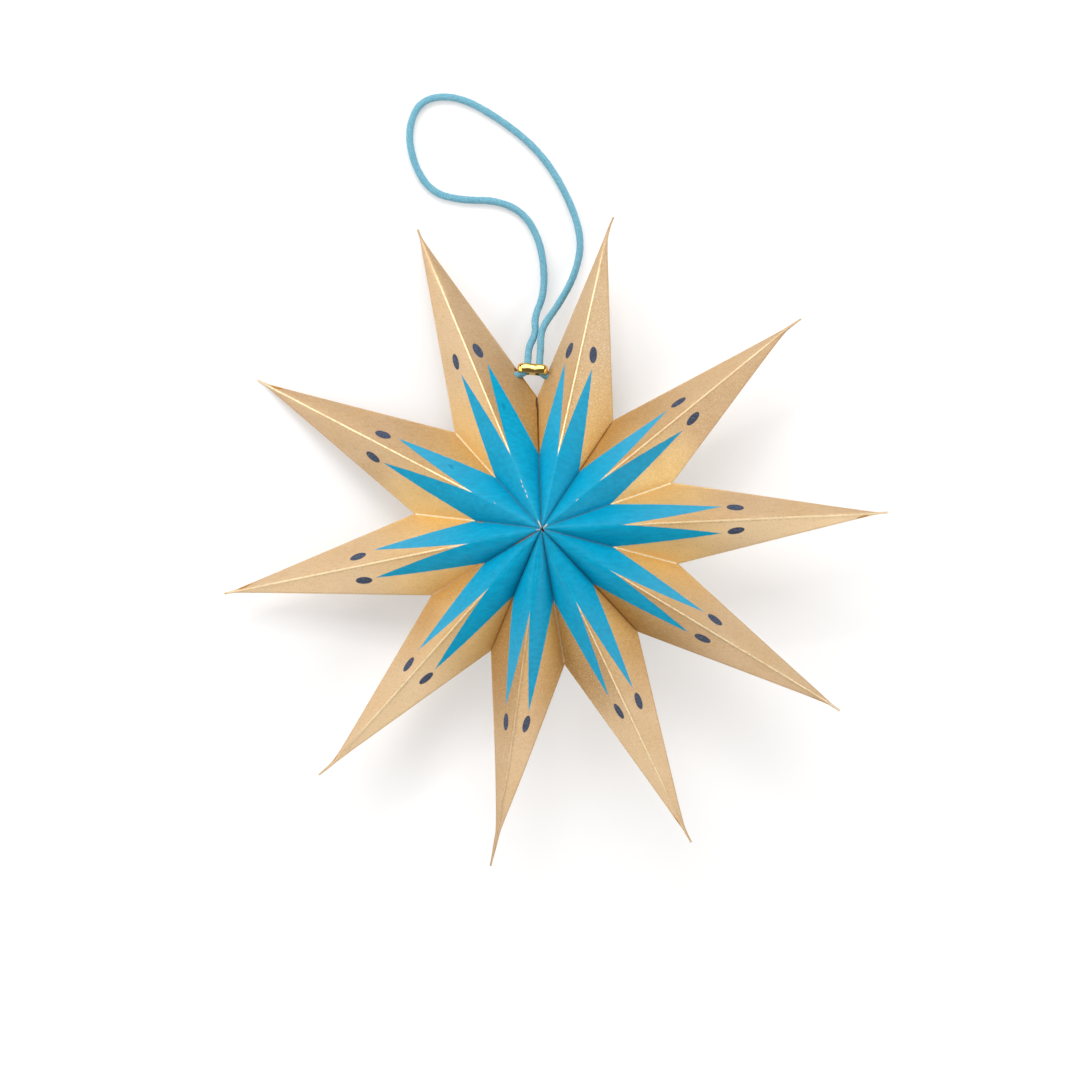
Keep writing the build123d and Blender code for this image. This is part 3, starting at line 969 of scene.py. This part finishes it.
CORD_SIDES = 28
CORD_STEP = 0.22
CORD_RESOLUTION = 24
SAME_PLACE = 1e-6
CORD_ROUGHNESS = 0.012
SEED = 7
HAIR_COUNT = 1500
HAIR_ROOT = 0.96
HAIR_HALF_WIDTH = 0.035
HAIR_LENGTHS = (0.15, 0.55)
HAIR_RISE = (0.2, 0.8)
HAIR_LEAN = 0.6
LONG_HAIR_EXTRA = 0.5
LONG_HAIR_CHANCE = 0.93
HAIR_LOWEST = 0.05


def cord_line():
    """Evenly spaced places along the smooth curve that the cord's points control, and the
    length reached at each of them."""
    curve = bpy.data.curves.new("cord_route", "CURVE")
    curve.dimensions = "3D"
    spline = curve.splines.new("NURBS")
    spline.points.add(len(CORD_POINTS) - 1)
    for point, place in zip(spline.points, CORD_POINTS):
        point.co = (*(value * MM for value in place), 1)
    spline.order_u = 3
    spline.use_endpoint_u = True
    spline.resolution_u = CORD_RESOLUTION
    route = bpy.data.objects.new("cord_route", curve)
    bpy.context.scene.collection.objects.link(route)
    bpy.context.view_layer.update()
    mesh = bpy.data.meshes.new_from_object(route)
    places = np.array([vertex.co for vertex in mesh.vertices]) / MM
    bpy.data.objects.remove(route)
    bpy.data.curves.remove(curve)
    bpy.data.meshes.remove(mesh)
    steps = np.linalg.norm(np.diff(places, axis=0), axis=1)
    keep = np.concatenate([[True], steps > SAME_PLACE])
    places = places[keep]
    reached = np.concatenate([[0], np.cumsum(np.linalg.norm(np.diff(places, axis=0), axis=1))])
    even = np.linspace(0, reached[-1], round(reached[-1] / CORD_STEP))
    return np.stack([np.interp(even, reached, places[:, axis]) for axis in range(3)], axis=1), even


def carried_frames(line):
    """At each place of a line, two directions across it that don't twist about it."""
    ahead = np.gradient(line, axis=0)
    ahead = ahead / np.linalg.norm(ahead, axis=1)[:, None]
    across = unit(np.cross(ahead[0], [0, 0, 1]))
    frames = []
    for direction in ahead:
        across = unit(across - direction * (across @ direction))
        frames.append((across, np.cross(direction, across)))
    return np.array(frames)


def cord_object(line, reached):
    """The cord as a soft, slightly uneven tube of cotton with short hairs that stand off it."""
    chance = np.random.default_rng(SEED)
    frames = carried_frames(line)
    angles = np.arange(CORD_SIDES) * 2 * pi / CORD_SIDES
    along = reached[:, None]
    around = angles[None, :]
    soft = 0.018 * np.sin(0.83 * along) + 0.014 * np.sin(2.9 * along + 2 * around)
    knit = 0.016 * np.cos(9 * around + 4 * np.sin(3.1 * along)) * np.cos(5.2 * along)
    lumps = 0.02 * np.sin(1.7 * along + 3 * around) * np.sin(0.61 * along - around)
    scale = CORD_DIAMETER / 2 * (1 + soft + knit + lumps)
    scale = scale + CORD_ROUGHNESS * chance.standard_normal(scale.shape)
    across = frames[:, None, 0] * np.cos(angles)[None, :, None]
    up = frames[:, None, 1] * np.sin(angles)[None, :, None]
    places = (line[:, None] + (across + up) * scale[:, :, None]).reshape(-1, 3)
    faces, _ = tube_faces(len(line), CORD_SIDES, [0] * CORD_SIDES)
    lay = np.zeros((len(line), CORD_SIDES, 3))
    lay[:, :, 0] = along
    lay[:, :, 1] = around
    hairs, hair_faces, hair_lay = hair_parts(line, reached, frames, chance, len(places))
    piece = mesh_from("cotton_cord", np.concatenate([places, hairs]), faces + hair_faces)
    values = np.concatenate([lay.reshape(-1, 3), hair_lay])
    layer = piece.data.attributes.new("lay", "FLOAT_VECTOR", "POINT")
    layer.data.foreach_set("vector", values.astype(np.float32).ravel())
    return piece


def hair_parts(line, reached, frames, chance, first):
    """Thin closed spikes, three sided, that lean along the cord's surface and off it."""
    places = []
    faces = []
    lay = []
    for _ in range(HAIR_COUNT):
        row = chance.integers(2, len(line) - 2)
        angle = chance.uniform(0, 2 * pi)
        across, up = frames[row]
        outward = across * cos(angle) + up * sin(angle)
        around = up * cos(angle) - across * sin(angle)
        ahead = unit(line[row + 1] - line[row - 1])
        root = line[row] + outward * CORD_DIAMETER / 2 * HAIR_ROOT
        lean = ahead * chance.uniform(-1, 1) + around * chance.uniform(-1, 1)
        length = chance.uniform(*HAIR_LENGTHS)
        length = length + LONG_HAIR_EXTRA * (chance.random() > LONG_HAIR_CHANCE)
        tip = root + (outward * chance.uniform(*HAIR_RISE) + lean * HAIR_LEAN) * length
        tip[2] = max(tip[2], HAIR_LOWEST)
        sides = (ahead, around * 0.7, around * -0.7)
        corners = [root + side * HAIR_HALF_WIDTH for side in sides]
        start = first + len(places)
        places += [*corners, tip]
        faces += [
            (start, start + 2, start + 1),
            (start, start + 1, start + 3),
            (start + 1, start + 2, start + 3),
            (start + 2, start, start + 3),
        ]
        lay += [(reached[row], angle, 0)] * 4
    return np.array(places), faces, np.array(lay)


KNOT_ROWS = 14
KNOT_COLUMNS = 24
KNOT_UNEVENNESS = 0.07


def knot_object(name, centre):
    """An uneven round knot."""
    places = []
    for row in range(KNOT_ROWS):
        fall = pi * (row + 0.5) / KNOT_ROWS
        for column in range(KNOT_COLUMNS):
            turn = 2 * pi * column / KNOT_COLUMNS
            wave = cos(3 * turn + 4 * cos(fall))
            radius = KNOT_RADIUS * (1 - KNOT_UNEVENNESS + KNOT_UNEVENNESS * wave)
            level = radius * sin(fall)
            places.append([level * cos(turn), level * sin(turn), radius * cos(fall)])
    faces, _ = tube_faces(KNOT_ROWS, KNOT_COLUMNS, [0] * KNOT_COLUMNS)
    knot = mesh_from(name, np.array(places) + centre, faces)
    knot.data.attributes.new("lay", "FLOAT_VECTOR", "POINT")
    return knot


# Bead, in its own frame: x across both channels, y through its thickness, z along them

BEAD_WIDTH = 9.1
BEAD_THICKNESS = 3.9
BEAD_LENGTH = 2.85
BEAD_RIM_INSET = 0.62
BEAD_RIM_LENGTH = 1.4
BEAD_SQUARENESS = 3.2
BEAD_WAIST = 0.16
BEAD_WAIST_WIDTH = 1.2
BEAD_STEPS = 96
RIM_STEPS = 10
HOLE_STEPS = 40
MOUTH_RADIUS = 0.08
CHANNEL_SPACING = 4
CHANNEL_RADIUS = 1.15
BEAD_FROM_NOTCH = 9.75
BEAD_LIFT = 1.1
BEAD_ASIDE = 0.3
BEAD_SLOPE = 9
BEAD_TURN = -4.7


def bead_frame():
    """Middle of the bead and its three directions, as rows, in the row's frame."""
    angle, radius = notch_polar(POINT_COUNT - 1)
    notch = spot(angle, radius)
    first = unit(spot(tip_angle(0), facet_end(0)) - notch)
    last = unit(spot(tip_angle(POINT_COUNT - 1), facet_end(POINT_COUNT - 1)) - notch)
    middle = notch + (first + last) * BEAD_FROM_NOTCH / 2 + [0, 0, BEAD_LIFT]
    slope = radians(BEAD_SLOPE)
    along = spot(BEAD_TURN + 90, cos(slope), -sin(slope))
    across = spot(BEAD_TURN, 1)
    axes = np.array([across, np.cross(along, across), along])
    return placed(middle - spot(BEAD_TURN, BEAD_ASIDE)), axes @ star_axes


def bead_outline():
    """Outline of the bead's section: a rounded bar that is a little slimmer in its middle."""
    angles = np.arange(BEAD_STEPS) * 2 * pi / BEAD_STEPS
    power = 2 / BEAD_SQUARENESS
    x = BEAD_WIDTH / 2 * np.sign(np.cos(angles)) * np.abs(np.cos(angles)) ** power
    y = BEAD_THICKNESS / 2 * np.sign(np.sin(angles)) * np.abs(np.sin(angles)) ** power
    waist = 1 - BEAD_WAIST * np.exp(-((x / BEAD_WAIST_WIDTH) ** 2))
    return np.stack([x, y * waist], axis=1)


def mirrored(profile):
    """A profile from the front end of the bead, continued to its back end."""
    return profile + [(across, -z) for across, z in profile[::-1]]


def bead_body(turns):
    """Places of the bead's outside, with rounded rims, and the number of its rings."""
    outline = bead_outline()
    wrap = np.roll(outline, -1, axis=0) - np.roll(outline, 1, axis=0)
    normal = np.stack([wrap[:, 1], -wrap[:, 0]], axis=1)
    normal = normal / np.linalg.norm(normal, axis=1)[:, None]
    flat = BEAD_LENGTH / 2 - BEAD_RIM_LENGTH
    rim = [(BEAD_RIM_INSET * (1 - sin(t)), flat + BEAD_RIM_LENGTH * cos(t)) for t in turns]
    rings = [
        np.column_stack([outline - normal * inset, np.full(BEAD_STEPS, z)])
        for inset, z in mirrored(rim)
    ]
    return np.concatenate(rings), len(rings)


def bead_channel(sign, turns):
    """Places of one channel of the bead, with softened mouths, and the number of its rings."""
    around = np.arange(HOLE_STEPS) * 2 * pi / HOLE_STEPS
    end = BEAD_LENGTH / 2 - MOUTH_RADIUS
    mouth = [
        (CHANNEL_RADIUS + MOUTH_RADIUS * (1 - cos(t)), end + MOUTH_RADIUS * sin(t))
        for t in turns[::-1]
    ]
    rings = []
    for radius, z in mirrored(mouth):
        x = sign * CHANNEL_SPACING / 2 + radius * np.cos(around)
        rings.append(np.column_stack([x, radius * np.sin(around), np.full(HOLE_STEPS, z)]))
    return np.concatenate(rings), len(rings)


def bead_object():
    """The bead, with rounded rims and two round channels with softened mouths."""
    turns = np.linspace(0, pi / 2, RIM_STEPS)
    places, rings = bead_body(turns)
    faces = [(a, d, c, b) for a, b, c, d in strip_faces(0, rings, BEAD_STEPS)]
    loops = [end_loops(0, rings, BEAD_STEPS)]
    for sign in (-1, 1):
        start = len(places)
        channel, rings = bead_channel(sign, turns)
        places = np.concatenate([places, channel])
        faces += strip_faces(start, rings, HOLE_STEPS)
        loops.append(end_loops(start, rings, HOLE_STEPS))
    faces += end_faces(places, zip(*loops))
    middle, axes = bead_frame()
    return mesh_from("gold_bead", middle + places @ axes, faces)


def end_faces(places, ends):
    """Triangles that fill each end of the bead between its outline and its two mouths."""
    faces = []
    for loops, up in zip(ends, (1, -1)):
        polygons = [[Vector((*places[index][:2], 0)) for index in loop] for loop in loops]
        order = [index for loop in loops for index in loop]
        for triangle in tessellate_polygon(polygons):
            corners = [order[index] for index in triangle]
            a, b, c = (places[index][:2] for index in corners)
            turn = (b[0] - a[0]) * (c[1] - a[1]) - (b[1] - a[1]) * (c[0] - a[0])
            faces.append(tuple(corners if turn * up > 0 else corners[::-1]))
    return faces


# Light, floor and camera

def panel_light(name, angle, rise, width, height, power):
    """A rectangular lamp that faces the star, at an angle around it and a rise above it."""
    light = bpy.data.lights.new(name, "AREA")
    light.shape = "RECTANGLE"
    light.size = width * MM
    light.size_y = height * MM
    light.energy = power
    lamp = bpy.data.objects.new(name, light)
    level = LAMP_DISTANCE * cos(radians(rise))
    place = Vector(spot(angle, level, LAMP_DISTANCE * sin(radians(rise))))
    lamp.location = place * MM
    lamp.rotation_euler = (-place).to_track_quat("-Z", "Y").to_euler()
    bpy.context.scene.collection.objects.link(lamp)


def surroundings():
    """The table, the sky and the lamps."""
    far = FLOOR_HALF_SIZE
    corners = [(-far, -far, 0), (far, -far, 0), (far, far, 0), (-far, far, 0)]
    floor = mesh_from("table_top", corners, [(0, 1, 2, 3)])
    floor.data.materials.append(floor_material())
    world = bpy.data.worlds.new("soft_sky")
    world.use_nodes = True
    background = world.node_tree.nodes["Background"]
    background.inputs["Color"].default_value = (1, 1, 1, 1)
    background.inputs["Strength"].default_value = SKY_STRENGTH
    bpy.context.scene.world = world
    for lamp in LAMPS:
        panel_light(*lamp)


def camera():
    """The photo's camera."""
    data = bpy.data.cameras.new("above")
    data.lens = CAMERA_LENS
    data.sensor_width = CAMERA_SENSOR
    data.clip_start, data.clip_end = (distance * MM for distance in CAMERA_SEES)
    eye = bpy.data.objects.new("above", data)
    eye.location = [value * MM for value in CAMERA_PLACE]
    bpy.context.scene.collection.objects.link(eye)
    bpy.context.scene.camera = eye


# The dressed star

camera()
surroundings()
bpy.context.scene.view_settings.view_transform = "Standard"

paper = paper_material()
for number in range(POINT_COUNT):
    point = point_object(number)
    point.data.materials.append(paper)
    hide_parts(f"star_point_{number + 1:02d}")
    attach(point, "root")

bead = bead_object()
bead.data.materials.append(bead_material())
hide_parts("slide_bead")
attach(bead, "root")

cotton = cord_material()
line, reached = cord_line()
cord = cord_object(line, reached)
knots = [knot_object("knot_left", line[0]), knot_object("knot_right", line[-1])]
for piece, node in zip([cord, *knots], ["hanging_cord", "left_knot", "right_knot"]):
    piece.data.materials.append(cotton)
    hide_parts(node)
    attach(piece, "root")
